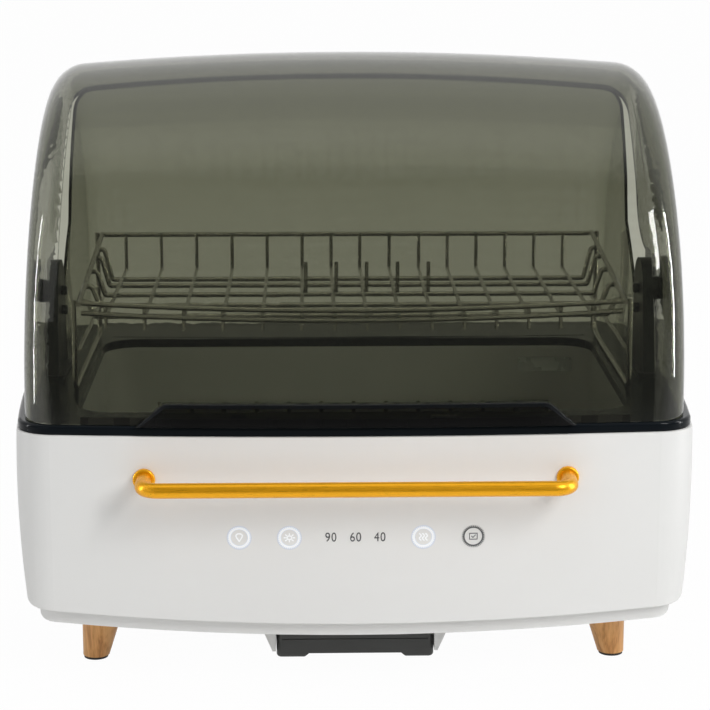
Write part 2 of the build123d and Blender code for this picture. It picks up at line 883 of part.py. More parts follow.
def make_fan_frame():
    y = front_y + fan_back
    half = fan_size / 2
    frame = box_between(fan_x - half, fan_x + half, y - half, y + half, fan_low, fan_low + fan_height)
    frame = fillet(frame.edges().filter_by(Axis.Z), 5)
    frame -= cylinder_z(fan_bore, fan_x, y, fan_low - 1, fan_low + fan_height + 1)
    for spoke in range(4):
        arm = box_between(0, fan_bore + 1, -2, 2, fan_low, fan_low + 3)
        frame += Pos(fan_x, y, 0) * Rot(0, 0, 45 + 90 * spoke) * arm
    return frame


def make_fan_motor():
    y = front_y + fan_back
    can = cylinder_z(motor_radius, fan_x, y, fan_low + 3, fan_low + 9)
    shaft = cylinder_z(shaft_radius, fan_x, y, fan_low + 9, fan_low + fan_height - 4)
    return can + shaft


def make_fan_rotor():
    y = front_y + fan_back
    z0 = fan_low + 9.6
    z1 = fan_low + fan_height - 2
    hub = cylinder_z(fan_hub, 0, 0, z0, z1) - cylinder_z(shaft_radius + pin_play, 0, 0, z0 - 1, z1 - 1.5)
    reach = fan_bore - fan_tip_gap
    for i in range(fan_blades):
        blade = box_between(fan_hub - 1.5, reach - 0.4, -9, 9, -0.9, 0.9)
        blade = Pos(0, 0, (z0 + z1) / 2) * Rot(32, 0, 0) * blade
        hub += Rot(0, 0, i * 360 / fan_blades) * blade
    ring = cylinder_z(reach, 0, 0, z0 - 10, z1 + 10)
    hub = hub & ring & cylinder_z(reach, 0, 0, z0, z1)
    return Pos(fan_x, y, 0) * hub


def make_fan_standoffs(floor):
    y = front_y + fan_back
    reach = fan_size / 2 - 6
    return [stand(4, fan_x + sx * reach, y + sy * reach, fan_low, floor) for sx in (-1, 1) for sy in (-1, 1)]


def make_heater_frame():
    y = front_y + fan_back
    half = fan_size / 2
    z0 = fan_low + fan_height
    z1 = tub_floor_z - tub_wall
    frame = box_between(fan_x - half, fan_x + half, y - half, y + half, z0, z1)
    inside = half - heater_wall
    return frame - box_between(fan_x - inside, fan_x + inside, y - inside, y + inside, z0 - 1, z1 + 1)


def make_heater_core():
    y = front_y + fan_back
    inside = fan_size / 2 - heater_wall
    z0 = fan_low + fan_height + 3
    z1 = tub_floor_z - tub_wall - 3
    core = box_between(fan_x - inside, fan_x + inside, y - 4, y + 4, z0, z1)
    pitch = (2 * inside - 8) / (heater_fins - 1)
    for i in range(heater_fins):
        x = fan_x - inside + 4 + i * pitch
        core += box_between(x - 0.5, x + 0.5, y - inside + 6, y + inside - 6, z0, z1)
    return core


def make_uv_window():
    top = case_top - uv_drop
    y = front_y + tub_back
    pane = box_between(
        uv_x - uv_half_width + 2, uv_x + uv_half_width - 8, y + tub_wall, y + tub_wall + 2.5,
        top - uv_height, top,
    )
    return pane


def make_uv_lamp():
    z = case_top - uv_drop - uv_height / 2
    y = front_y + tub_back + tub_wall + 16
    return cylinder_x(lamp_radius, uv_x - uv_half_width + 6, uv_x + uv_half_width - 12, y, z)


def make_uv_sockets():
    z = case_top - uv_drop - uv_height / 2
    y = front_y + tub_back + tub_wall
    sockets = []
    for x, side in ((uv_x - uv_half_width + 6, -1), (uv_x + uv_half_width - 12, 1)):
        sockets.append(box_between(x, x + side * 6, y + 2.5, y + 26, z - 9, z + 9))
    return sockets


def make_drain_spout():
    y = front_y + spout_back
    z1 = tub_floor_z - tub_wall
    tube = cylinder_z(spout_radius, 0, y, land_z + 0.2, z1)
    tube += cylinder_z(spout_radius + 5, 0, y, z1 - 2, z1)
    return tube - cylinder_z(spout_bore, 0, y, 0, z1 + 1)


def make_cord_gland():
    nose = cylinder_y(gland_radius - 1.2, gland_x, back_y - 1, back_y + gland_nose, gland_z)
    body = cylinder_y(gland_radius - 0.05, gland_x, back_y - case_wall - 6, back_y, gland_z)
    nut = cylinder_y(gland_radius + 3, gland_x, back_y - case_wall - 5, back_y - case_wall, gland_z)
    bore = cylinder_y(gland_bore, gland_x, back_y - 30, back_y + gland_nose + 1, gland_z)
    return nose + body + nut - bore


def make_lid_sensor():
    """The half-round boss on the frame that meets the lid magnet's side."""
    x = -ring_outer_x
    y = front_at(x) + 21
    boss = cylinder_z(6.5, x, y, frame_top, frame_top + 6)
    return fillet(boss.edges().filter_by(lambda e: e.center().Z > frame_top + 5.9), 3)


def make_pan_screws():
    """Screws along the front and the back of the pan's underside."""
    screws = []
    outside = case_block(pan_inset, seam_gap + pan_lip, pan_low_corner, case_top)
    for share in (-0.85, -0.38, 0.38, 0.85):
        x = share * case_half_width
        for y in (front_at(x) + 22, back_y - 18):
            z0 = pan_low + seam_sag * (x / (case_foot_half_width + case_side_bow)) ** 2
            head = cylinder_z(screw_head, x, y, z0 - 1.6, z0 + 5)
            screws.append(head - outside)
    return screws


# ---------------------------------------------------------------- racks
def rack_xs():
    """Plate bays on the left are wider than the cup bays on the right."""
    left = [rack_split_x - i * rack_left_pitch for i in range(rack_left_count, 0, -1)]
    right = [rack_split_x + i * rack_right_pitch for i in range(rack_right_count)]
    return left + right


def wire_between(radius, a, b):
    path = Line(a, b)
    section = Plane(origin=path @ 0, z_dir=path % 0) * Circle(radius)
    return extrude(section, path.length)


def rack_front_share(x):
    """How far the front of the rack is bowed at x: 1 in the middle, 0 at the side rails."""
    return max(0.0, 1 - (x / rack_half_width) ** 2)


def rack_rail_front_y(x=None):
    bow = 0 if x is None else rack_front_bow * rack_front_share(x)
    return front_y + rack_front - wire - rail_wire - bow


def rack_rail_back_y():
    return front_y + rack_back + wire + rail_wire


def side_rail_z(y):
    """Height of the sloping side rail of the upper rack at y."""
    share = (y - front_y - rack_front) / (rack_back - rack_front)
    return case_top + rack_front_rise + share * (rack_back_rise - rack_front_rise)


def make_rack_floor():
    """Cross wires of the upper rack floor."""
    z = case_top + rack_floor_rise
    half = rack_half_width - rack_bend_in
    return [cylinder_x(rail_wire, -half, half, front_y + y, z) for y in rack_cross]


def make_rack_bends():
    """The S-bent ends of the cross wires, which climb to the side rails."""
    bends = []
    for back in rack_cross:
        y = front_y + back
        z0 = case_top + rack_floor_rise
        z1 = side_rail_z(y) - rail_wire * 2 - 0.1
        x0 = rack_half_width - rack_bend_in
        x1 = rack_half_width
        path = FilletPolyline(
            (x0, y, z0), (x0 + 4.5, y, z0), (x1 - 4.5, y, z1), (x1, y, z1), radius=2.6,
        )
        section = Plane(origin=path @ 0, z_dir=path % 0) * Circle(rail_wire)
        bends += both_sides(sweep(section, path=path))
    return bends


def make_rack_long_wires():
    z = case_top + rack_floor_rise + rail_wire + wire
    wires = []
    for x in rack_xs():
        y0 = rack_rail_front_y(x) + rail_wire + 2 * wire
        wires.append(cylinder_y(wire, x, y0, front_y + rack_back - wire, z))
    return wires


def make_rack_back():
    y = rack_rail_back_y()
    z1 = case_top + rack_back_rise
    half = rack_half_width - rail_wire - 0.05
    wires = [cylinder_x(rail_wire, -half, half, y, z1)]
    for x in rack_xs():
        z0 = case_top + rack_floor_rise + rail_wire
        wires.append(cylinder_z(wire, x, y - rail_wire - wire, z0, z1 + rail_wire))
    return wires


def make_rack_front():
    """Two rails that bow forward and sag a little, and the teeth behind them."""
    y = rack_rail_front_y()
    half = rack_half_width - rail_wire - 0.05
    parts = []
    for drop in (0, rack_second_drop):
        z = case_top + rack_front_rise - drop
        path = ThreePointArc(
            (-half, y, z), (0, y - rack_front_bow, z - rack_front_sag), (half, y, z),
        )
        section = Plane(origin=path @ 0, z_dir=path % 0) * Circle(rail_wire)
        parts.append(sweep(section, path=path) & box_between(-half, half, -SPAN, SPAN, 0, SPAN))
    for x in rack_xs():
        z0 = case_top + rack_floor_rise - rack_tooth_drop
        z1 = case_top + rack_front_rise - rack_front_sag * rack_front_share(x)
        parts.append(cylinder_z(wire, x, rack_rail_front_y(x) + rail_wire + wire, z0, z1))
    return parts


def make_rack_sides():
    y0 = rack_rail_front_y() - rail_wire
    y1 = rack_rail_back_y() + rail_wire
    x = rack_half_width
    rail = wire_between(rail_wire, (x, y0, side_rail_z(y0)), (x, y1, side_rail_z(y1)))
    return both_sides(rail)


def make_rack_legs():
    """Wire legs that stand on the frame: two uprights, a foot run and a middle rail a side."""
    y0 = front_y + rack_front - wire
    y1 = front_y + rack_back + wire
    x = rack_half_width + 2 * rail_wire
    z0 = frame_top + rail_wire + 0.1
    foot = FilletPolyline(
        (x, y0, z0 + leg_bend + 4), (x, y0, z0), (x, y1, z0), (x, y1, z0 + leg_bend + 4), radius=leg_bend,
    )
    section = Plane(origin=foot @ 0, z_dir=foot % 0) * Circle(rail_wire)
    parts = both_sides(sweep(section, path=foot))
    for y in (y0, y1):
        upright = cylinder_z(rail_wire, x, y, z0 + leg_bend + 4, side_rail_z(y) + rail_wire)
        parts += both_sides(upright)
    middle = cylinder_y(wire, x - rail_wire - wire, y0, y1, case_top + leg_mid_rise)
    parts += both_sides(middle)
    return parts


def make_rack_prongs():
    z = case_top + rack_floor_rise + rail_wire
    prongs = []
    for i in range(prong_count):
        x = rack_split_x + i * rack_right_pitch + 2 * wire
        prongs.append(cylinder_z(wire, x, front_y + rack_cross[prong_row], z, z + prong_height))
    return prongs


def make_lower_rails():
    z = tub_floor_z + lower_rise
    parts = []
    for back in (lower_front, lower_back):
        y = front_y + back
        run = FilletPolyline(
            (-lower_half_width, y, tub_floor_z), (-lower_half_width, y, z),
            (lower_half_width, y, z), (lower_half_width, y, tub_floor_z), radius=6,
        )
        section = Plane(origin=run @ 0, z_dir=run % 0) * Circle(rail_wire)
        parts.append(sweep(section, path=run))
    return parts


def lower_xs():
    first = -lower_pitch * (lower_count - 1) / 2
    return [first + i * lower_pitch for i in range(lower_count)]


def make_lower_wires():
    z = tub_floor_z + lower_rise + rail_wire + wire
    y0 = front_y + lower_front - 14
    y1 = front_y + lower_back + 14
    return [cylinder_y(wire, x, y0, y1, z) for x in lower_xs()]


def make_lower_prongs():
    z = tub_floor_z + lower_rise + rail_wire
    parts = []
    for x in lower_xs():
        for back in (lower_front + lower_prong_in, lower_back - lower_prong_in):
            parts.append(cylinder_z(wire, x + 2 * wire, front_y + back, z, z + lower_prong))
    return parts


# ---------------------------------------------------------------- build
def save(name, shape):
    if isinstance(shape, list):
        shape = Compound(children=shape)
    export_step(shape, "parts/" + name + ".step")


def main():
    outer = make_case_outer()
    inner = make_case_inner()
    floor = pan_floor_cut()
    save("housing", make_housing(outer, inner))
    save("bottom_pan", make_bottom_pan())
    save("top_frame", make_top_frame())
    save("tub", make_tub())
    save("rear_cover", make_rear_cover())
    post = make_hinge_post()
    save("hinge_post_right", post)
    save("hinge_post_left", mirror(post, about=Plane.YZ))
    save("hinge_pins", make_hinge_pins())
    save("post_knobs", make_post_knobs())
    save("post_screws", make_post_screws())
    save("handle_bar", make_handle_bar() - outer)
    save("handle_flanges", make_handle_flanges(outer))
    save("handle_screws", make_handle_screws(inner))
    for name, (x, y) in zip(
        ("foot_front_left", "foot_front_right", "foot_rear_left", "foot_rear_right"), foot_places()
    ):
        save(name, make_foot(x, y))
    save("foot_pads", make_foot_pads())
    save("foot_screws", make_foot_screws())
    rail = make_tray_rail()
    save("tray_rail_right", rail)
    save("tray_rail_left", mirror(rail, about=Plane.YZ))
    save("rail_screws", make_rail_screws())
    save("touch_board", make_touch_board())
    save("touch_spacers", make_touch_spacers(inner))
    save("light_rings", make_light_rings(outer, inner))
    save("power_board", make_power_board())
    save("board_standoffs", make_board_standoffs(floor))
    save("fan_frame", make_fan_frame())
    save("fan_motor", make_fan_motor())
    save("fan_standoffs", make_fan_standoffs(floor))
    save("fan_rotor", make_fan_rotor())
    save("heater_frame", make_heater_frame())
    save("heater_core", make_heater_core())
    save("floor_grille", make_floor_grille())
    save("uv_window", make_uv_window())
    save("uv_lamp", make_uv_lamp())
    save("uv_sockets", make_uv_sockets())
    save("drain_spout", make_drain_spout())
    save("cord_gland", make_cord_gland())
    save("lid_sensor", make_lid_sensor())
    save("pan_screws", make_pan_screws())
    save("rack_floor", make_rack_floor())
    save("rack_bends", make_rack_bends())
    save("rack_long_wires", make_rack_long_wires())
    save("rack_back", make_rack_back())
    save("rack_front", make_rack_front())
    save("rack_sides", make_rack_sides())
    save("rack_legs", make_rack_legs())
    save("rack_prongs", make_rack_prongs())
    save("lower_rack_rails", make_lower_rails())
    save("lower_rack_wires", make_lower_wires())
    save("lower_rack_prongs", make_lower_prongs())
    save("lid_shell", make_lid_shell())
    save("lid_hubs", make_lid_hubs())
    save("lid_seal", make_lid_seal())
    save("lid_magnet", make_lid_magnet())
    save("drip_tray", make_drip_tray())


main()
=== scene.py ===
import math

import bmesh
import bpy
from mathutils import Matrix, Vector


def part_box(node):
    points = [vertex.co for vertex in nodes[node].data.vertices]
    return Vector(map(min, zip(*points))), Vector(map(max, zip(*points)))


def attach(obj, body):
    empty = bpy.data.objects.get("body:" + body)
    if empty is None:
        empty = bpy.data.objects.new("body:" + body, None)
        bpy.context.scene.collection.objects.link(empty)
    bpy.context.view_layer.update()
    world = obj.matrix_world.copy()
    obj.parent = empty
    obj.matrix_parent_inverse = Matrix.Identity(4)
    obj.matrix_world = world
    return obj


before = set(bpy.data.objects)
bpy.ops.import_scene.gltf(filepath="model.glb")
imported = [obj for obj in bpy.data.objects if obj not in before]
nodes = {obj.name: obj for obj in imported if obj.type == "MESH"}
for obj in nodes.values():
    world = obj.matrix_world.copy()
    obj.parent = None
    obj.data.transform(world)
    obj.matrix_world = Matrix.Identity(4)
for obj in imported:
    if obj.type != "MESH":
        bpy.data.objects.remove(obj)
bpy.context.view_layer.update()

scene = bpy.context.scene
MM = 0.001


# ------------------------------------------------------------------ places read from the frame
front_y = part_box("housing")[0][1]
frame_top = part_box("top_frame")[1][2]
half_width = 240.5 * MM
front_bow = 11.6 * MM
bow_radius = (half_width ** 2 + front_bow ** 2) / (2 * front_bow)
row_z = 115.5 * MM
ring_places = (-83.4 * MM, -47.7 * MM, 47.7 * MM, 83.4 * MM)


def front_at(x):
    """The bowed front of the case at x."""
    return front_y + bow_radius - math.sqrt(bow_radius ** 2 - x ** 2)


# ------------------------------------------------------------------ node helpers
def math_node(tree, operation, a, b=None):
    """A Math node; a and b are numbers or sockets."""
    made = tree.nodes.new("ShaderNodeMath")
    made.operation = operation
    for socket, value in zip(made.inputs, (a, b)):
        if isinstance(value, (int, float)):
            socket.default_value = value
        elif value is not None:
            tree.links.new(value, socket)
    return made.outputs["Value"]


def map_range(tree, value, source, target):
    """Map the value from one (low, high) pair to another, held at the ends."""
    made = tree.nodes.new("ShaderNodeMapRange")
    for socket, number in zip(("From Min", "From Max", "To Min", "To Max"), (*source, *target)):
        made.inputs[socket].default_value = number
    tree.links.new(value, made.inputs["Value"])
    return made.outputs["Result"]


def split_axes(tree, kind):
    """X, Y and Z of an "Object" or "Generated" coordinate."""
    coords = tree.nodes.new("ShaderNodeTexCoord")
    split = tree.nodes.new("ShaderNodeSeparateXYZ")
    tree.links.new(coords.outputs[kind], split.inputs["Vector"])
    return split.outputs


# ------------------------------------------------------------------ materials
class Finish:
    """A Principled material with a few procedural layers in object space (metres)."""

    def __init__(self, name, color, roughness, **sockets):
        self.material = bpy.data.materials.new(name)
        self.material.use_nodes = True
        self.tree = self.material.node_tree
        self.shader = self.tree.nodes["Principled BSDF"]
        self.output = self.tree.nodes["Material Output"]
        self.shader.inputs["Base Color"].default_value = (*color, 1)
        self.shader.inputs["Roughness"].default_value = roughness
        for key, value in sockets.items():
            self.shader.inputs[key.replace("_", " ")].default_value = value
        self.normal = None

    def node(self, kind, **values):
        made = self.tree.nodes.new(kind)
        for key, value in values.items():
            setattr(made, key, value)
        return made

    def link(self, a, b):
        self.tree.links.new(a, b)

    def space(self, scale):
        coords = self.node("ShaderNodeTexCoord")
        mapping = self.node("ShaderNodeMapping")
        mapping.inputs["Scale"].default_value = scale
        self.link(coords.outputs["Object"], mapping.inputs["Vector"])
        return mapping.outputs["Vector"]

    def noise(self, scale, detail, stretch=(1, 1, 1), distortion=0.0):
        made = self.node("ShaderNodeTexNoise")
        made.inputs["Scale"].default_value = scale
        made.inputs["Detail"].default_value = detail
        made.inputs["Distortion"].default_value = distortion
        self.link(self.space(stretch), made.inputs["Vector"])
        return made.outputs["Fac"]

    def mixed(self, share, first, second):
        made = self.node("ShaderNodeMixShader")
        self.link(share, made.inputs["Fac"])
        self.link(first, made.inputs[1])
        self.link(second, made.inputs[2])
        return made.outputs["Shader"]

    def colors(self, fac, stops):
        ramp = self.node("ShaderNodeValToRGB")
        elements = ramp.color_ramp.elements
        while len(elements) < len(stops):
            elements.new(0.5)
        for element, (place, color) in zip(elements, stops):
            element.position = place
            element.color = (*color, 1)
        self.link(fac, ramp.inputs["Fac"])
        self.link(ramp.outputs["Color"], self.shader.inputs["Base Color"])

    def roughness(self, fac, least, most):
        """Spread the middle of a noise, where nearly all of it lies, over two roughness values."""
        result = map_range(self.tree, fac, (0.3, 0.7), (least, most))
        self.link(result, self.shader.inputs["Roughness"])

    def bump(self, fac, distance, strength=1.0):
        made = self.node("ShaderNodeBump")
        made.inputs["Distance"].default_value = distance
        made.inputs["Strength"].default_value = strength
        self.link(fac, made.inputs["Height"])
        if self.normal is not None:
            self.link(self.normal, made.inputs["Normal"])
        self.normal = made.outputs["Normal"]
        self.link(self.normal, self.shader.inputs["Normal"])


def shade(color, factor):
    return tuple(min(1.0, c * factor) for c in color)


def moulded(name, color, roughness, grain, depth, mottle, **sockets):
    """Moulded plastic: faint mottling, uneven gloss and a fine mould grain."""
    made = Finish(name, color, roughness, **sockets)
    darker, lighter = shade(color, 1 - mottle), shade(color, 1 + mottle)
    made.colors(made.noise(9, 2), [(0.25, darker), (0.75, lighter)])
    made.roughness(made.noise(35, 3), roughness - 0.04, roughness + 0.05)
    made.bump(made.noise(grain, 2), depth)
    return made


def brushed(name, color, roughness, stretch, depth, metallic=1.0):
    """Metal, bare or lacquered, with fine lines drawn along one direction."""
    made = Finish(name, color, roughness, Metallic=metallic)
    lines = made.noise(1, 4, stretch)
    made.colors(lines, [(0.2, shade(color, 0.9)), (0.8, shade(color, 1.06))])
    made.roughness(lines, roughness - 0.06, roughness + 0.08)
    made.bump(lines, depth)
    return made


def smoked(name, thickness, through, **sockets):
    """Clear plastic, tinted in its depth: `through` is what a wall of this thickness lets pass."""
    made = Finish(name, (0.97, 0.97, 0.96), 0.015, IOR=1.49, Transmission_Weight=1.0, **sockets)
    made.roughness(made.noise(14, 3), 0.004, 0.03)
    made.bump(made.noise(16, 1), 0.00012, 0.5)
    path = made.node("ShaderNodeLightPath")
    clear = made.node("ShaderNodeBsdfTransparent")
    made.surface = made.mixed(
        path.outputs["Is Shadow Ray"], made.shader.outputs["BSDF"], clear.outputs["BSDF"])
    if through is not None:
        losses = [-math.log(share) / thickness for share in through]
        dense = max(losses) * 1.1  # keeps every channel of the colour above black
        depth = made.node("ShaderNodeVolumeAbsorption")
        depth.inputs["Color"].default_value = (*[1 - loss / dense for loss in losses], 1)
        depth.inputs["Density"].default_value = dense
        made.link(depth.outputs["Volume"], made.output.inputs["Volume"])
    made.link(made.surface, made.output.inputs["Surface"])
    return made


def with_painted_shade_rear_edge(made):
    """Painted shade: the cut rear edge of the lid, a line that runs over its top and down both sides, is
    painted dark.
    """
    round_y, round_z = 0.068, 0.310  # middle of the 30 mm round between the upright and the lower cut
    edge = (0.0264, 0.0270)  # distance from it at which the dark starts and is full
    behind_hinge = (0.0125, 0.0130)
    tree = made.tree
    axes = split_axes(tree, "Object")
    over = math_node(tree, "MAXIMUM", math_node(tree, "SUBTRACT", axes["Y"], round_y), 0.0)
    under = math_node(tree, "MAXIMUM", math_node(tree, "SUBTRACT", round_z, axes["Z"]), 0.0)
    squares = [math_node(tree, "POWER", side, 2.0) for side in (over, under)]
    reach = math_node(tree, "SQRT", math_node(tree, "ADD", *squares))
    # mask of the painted shade along the rear edge
    painted_shade_at_edge = map_range(tree, reach, edge, (0.0, 1.0))
    behind = map_range(tree, axes["Y"], behind_hinge, (0.0, 1.0))
    # near-black shader mixed in over the rear edge as painted shade
    dark = made.node("ShaderNodeBsdfPrincipled")
    dark.inputs["Base Color"].default_value = (0.006, 0.007, 0.006, 1)
    dark.inputs["Roughness"].default_value = 0.2
    share = math_node(tree, "MULTIPLY", painted_shade_at_edge, behind)
    made.link(made.mixed(share, made.surface, dark.outputs["BSDF"]), made.output.inputs["Surface"])
    return made


def frosted(name, color, roughness, transmission):
    """A milky pane that lets some light through."""
    made = Finish(name, color, roughness, Transmission_Weight=transmission)
    made.roughness(made.noise(40, 3), roughness - 0.08, roughness + 0.08)
    made.bump(made.noise(700, 2), 0.00005)
    return made


def wood(name):
    """Beech: long pale grain with short darker flecks, turned about the upright."""
    made = Finish(name, (0.52, 0.25, 0.09), 0.5)
    grain = made.noise(1, 6, (210, 210, 9), 0.6)
    flecks = made.noise(1, 3, (900, 900, 60))
    mix = made.node("ShaderNodeMath", operation="MULTIPLY_ADD")
    mix.inputs[1].default_value = 0.3
    made.link(flecks, mix.inputs[0])
    made.link(grain, mix.inputs[2])
    made.colors(mix.outputs["Value"], [
        (0.45, (0.46, 0.19, 0.055)), (0.60, (0.70, 0.34, 0.11)),
        (0.72, (0.82, 0.43, 0.16)), (0.88, (0.88, 0.50, 0.21)),
    ])
    made.roughness(grain, 0.42, 0.58)
    made.bump(flecks, 0.00008)
    return made


def glowing(name, color, glow, strength):
    """Print lit from behind."""
    made = Finish(name, color, 0.3, Emission_Strength=strength)
    made.shader.inputs["Emission Color"].default_value = (*glow, 1)
    made.colors(made.noise(900, 1), [(0.3, shade(color, 0.95)), (0.7, color)])
    return made


def ring_band(name, lit, unlit):
    """Backlit plastic of the touch rings: the three on the left are lit, the last one is not."""
    made = Finish(name, lit, 0.3)
    made.shader.inputs["Emission Color"].default_value = (0.78, 0.90, 1.0, 1)
    switch = (0.0655, 0.0656)  # x between the third and the fourth ring
    across = split_axes(made.tree, "Object")["X"]
    glow = map_range(made.tree, across, switch, (0.26, 0.0))
    made.link(glow, made.shader.inputs["Emission Strength"])
    made.colors(map_range(made.tree, across, switch, (0.0, 1.0)), [(0.0, lit), (1.0, unlit)])
    return made


smoke = (0.37, 0.375, 0.31)  # share of red, green and blue that passes one wall
finishes = {
    "white_shell": moulded("white_shell", (0.80, 0.80, 0.785), 0.36, 1400, 0.00003, 0.012),
    "black_gloss": moulded(
        "black_gloss", (0.005, 0.007, 0.009), 0.16, 60, 0.00003, 0.1, Specular_IOR_Level=0.1),
    "black_matte": moulded(
        "black_matte", (0.006, 0.008, 0.011), 0.34, 1800, 0.00006, 0.1, Specular_IOR_Level=0.3),
    "grey_tub": moulded("grey_tub", (0.43, 0.43, 0.425), 0.42, 1200, 0.00004, 0.05),
    # the lid gets painted shade along its rear edge
    "lid_smoke": with_painted_shade_rear_edge(
        smoked("lid_smoke", 0.0032, smoke, Specular_IOR_Level=0.22)),
    "smoke": smoked("smoke", 0.0028, smoke, Specular_IOR_Level=0.22),
    # painted shade: near-black plastic for the dark look of the grip's thick smoked edge
    "smoke_edge_painted_shade": moulded(
        "smoke_edge_painted_shade", (0.004, 0.005, 0.006), 0.12, 40, 0.00004, 0.1, Specular_IOR_Level=0.3),
    "window": frosted("window", (0.80, 0.82, 0.83), 0.3, 0.35),
    "lamp_glass": smoked("lamp_glass", 0.001, None),
    "gold": brushed("gold", (0.90, 0.42, 0.006), 0.30, (60, 2600, 2600), 0.00002, 0.6),
    "zinc": brushed("zinc", (0.62, 0.62, 0.61), 0.34, (1500, 1500, 300), 0.00003),
    "fin_metal": brushed("fin_metal", (0.74, 0.74, 0.75), 0.30, (300, 300, 2400), 0.00003),
    "wire_steel": brushed("wire_steel", (0.40, 0.39, 0.36), 0.13, (500, 500, 500), 0.00002),
    "beech": wood("beech"),
    "pad_rubber": moulded("pad_rubber", (0.022, 0.019, 0.016), 0.75, 900, 0.0001, 0.15),
    "board_green": moulded("board_green", (0.02, 0.12, 0.05), 0.35, 500, 0.00006, 0.2),
    "ring_light": ring_band("ring_light", (0.58, 0.60, 0.65), (0.80, 0.80, 0.785)),
    "charcoal": moulded("charcoal", (0.036, 0.037, 0.034), 0.42, 1500, 0.00006, 0.1),
    "ring_dark": moulded("ring_dark", (0.045, 0.05, 0.055), 0.40, 900, 0.00004, 0.1),
    "print_grey": moulded("print_grey", (0.055, 0.055, 0.06), 0.5, 900, 0.00002, 0.1),
    "print_light": glowing("print_light", (0.78, 0.79, 0.80), (0.92, 0.96, 1.0), 0.3),
    "print_halo": glowing("print_halo", (0.60, 0.63, 0.70), (0.80, 0.90, 1.0), 0.12),
}


def dress(node, finish):
    obj = nodes[node]
    for slot in obj.material_slots:
        slot.link = "OBJECT"
        slot.material = finishes[finish].material


DRESS = {
    "white_shell": "housing bottom_pan tray_rail_left tray_rail_right",
    "black_gloss": "top_frame lid_sensor",
    "black_matte": "hinge_post_left hinge_post_right hinge_pins post_knobs lid_hubs fan_frame"
                   " fan_rotor uv_sockets cord_gland drain_spout",
    "grey_tub": "tub floor_grille",
    "lid_smoke": "lid_shell",
    "smoke": "rear_cover",
    "window": "uv_window",
    "lamp_glass": "uv_lamp",
    "gold": "handle_bar handle_flanges",
    "zinc": "handle_screws post_screws foot_screws rail_screws pan_screws heater_frame"
            " board_standoffs fan_standoffs fan_motor lid_magnet touch_spacers",
    "fin_metal": "heater_core",
    "wire_steel": "rack_floor rack_bends rack_long_wires rack_back rack_front rack_sides rack_legs"
                  " rack_prongs lower_rack_rails lower_rack_wires lower_rack_prongs",
    "beech": "foot_front_left foot_front_right foot_rear_left foot_rear_right",
    "pad_rubber": "foot_pads lid_seal",
    "board_green": "touch_board power_board",
    "ring_light": "light_rings",
    "charcoal": "drip_tray",
}
for finish, names in DRESS.items():
    for node in names.split():
        dress(node, finish)


# ------------------------------------------------------------------ making pieces
def new_piece(name, mesh_maker, finish, body="base"):
    bm = bmesh.new()
    mesh_maker(bm)
    mesh = bpy.data.meshes.new(name)
    bm.to_mesh(mesh)
    bm.free()
    obj = bpy.data.objects.new(name, mesh)
    scene.collection.objects.link(obj)
    mesh.materials.append(finishes[finish].material)
    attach(obj, body)
    return obj


def smooth(obj, angle):
    for polygon in obj.data.polygons:
        polygon.use_smooth = True
    chosen = {"selected_editable_objects": [obj], "selected_objects": [obj]}
    with bpy.context.temp_override(object=obj, active_object=obj, **chosen):
        bpy.ops.object.shade_smooth_by_angle(angle=math.radians(angle))


def slab_on_front(bm, outline, proud):
    """A thin printed or inlaid shape: an (x, z) outline laid on the bowed front."""
    sunk = 0.4 * MM
    outer = [bm.verts.new((x, front_at(x) - proud, z)) for x, z in outline]
    inner = [bm.verts.new((x, front_at(x) + sunk, z)) for x, z in outline]
    bm.faces.new(outer)
    bm.faces.new(list(reversed(inner)))
    count = len(outline)
    for i in range(count):
        j = (i + 1) % count
        bm.faces.new((outer[j], outer[i], inner[i], inner[j]))


# ------------------------------------------------------------------ touch row
BAND = (6.35 * MM, 6.95 * MM)  # inner and outer radius
HALO = (7.9 * MM, 8.9 * MM)
TOOTH = ((6.8, -0.40), (8.3, -0.16), (8.3, 0.16), (6.8, 0.40))  # (radius, side) of its corners in mm
TEETH = 36
LIT_RINGS = 3
MARK_STRETCH = (1.3 * MM, 1.05 * MM)


def ring_band_quads(center, inner, outer):
    count = 48
    quads = []
    for i in range(count):
        a, b = 2 * math.pi * i / count, 2 * math.pi * (i + 1) / count
        quads.append([(center + r * math.cos(t), row_z + r * math.sin(t))
                      for r, t in ((inner, a), (outer, a), (outer, b), (inner, b))])
    return quads


def ring_ticks(center):
    """A toothed ring: a narrow band with a tooth every ten degrees."""
    def make(bm):
        for quad in ring_band_quads(center, *BAND):
            slab_on_front(bm, quad, 0.00032)
        for i in range(TEETH):
            a = 2 * math.pi * i / TEETH
            along = Vector((math.cos(a), math.sin(a)))
            across = Vector((-along.y, along.x))
            quad = []
            for radius, side in TOOTH:
                p = along * radius * MM + across * side * MM
                quad.append((center + p.x, row_z + p.y))
            slab_on_front(bm, quad, 0.00030)
    return make


def ring_halo(center):
    def make(bm):
        for quad in ring_band_quads(center, *HALO):
            slab_on_front(bm, quad, 0.00008)
    return make


def stroke(points, wide):
    """A line of even width through points, as quads laid end to end."""
    quads = []
    for (x0, z0), (x1, z1) in zip(points, points[1:]):
        d = Vector((x1 - x0, z1 - z0))
        if d.length < 1e-7:
            continue
        n = Vector((-d.y, d.x)).normalized() * (wide / 2)
        e = d.normalized() * (wide * 0.25)
        quads.append([
            (x0 - e.x + n.x, z0 - e.y + n.y), (x0 - e.x - n.x, z0 - e.y - n.y),
            (x1 + e.x - n.x, z1 + e.y - n.y), (x1 + e.x + n.x, z1 + e.y + n.y),
        ])
    return quads


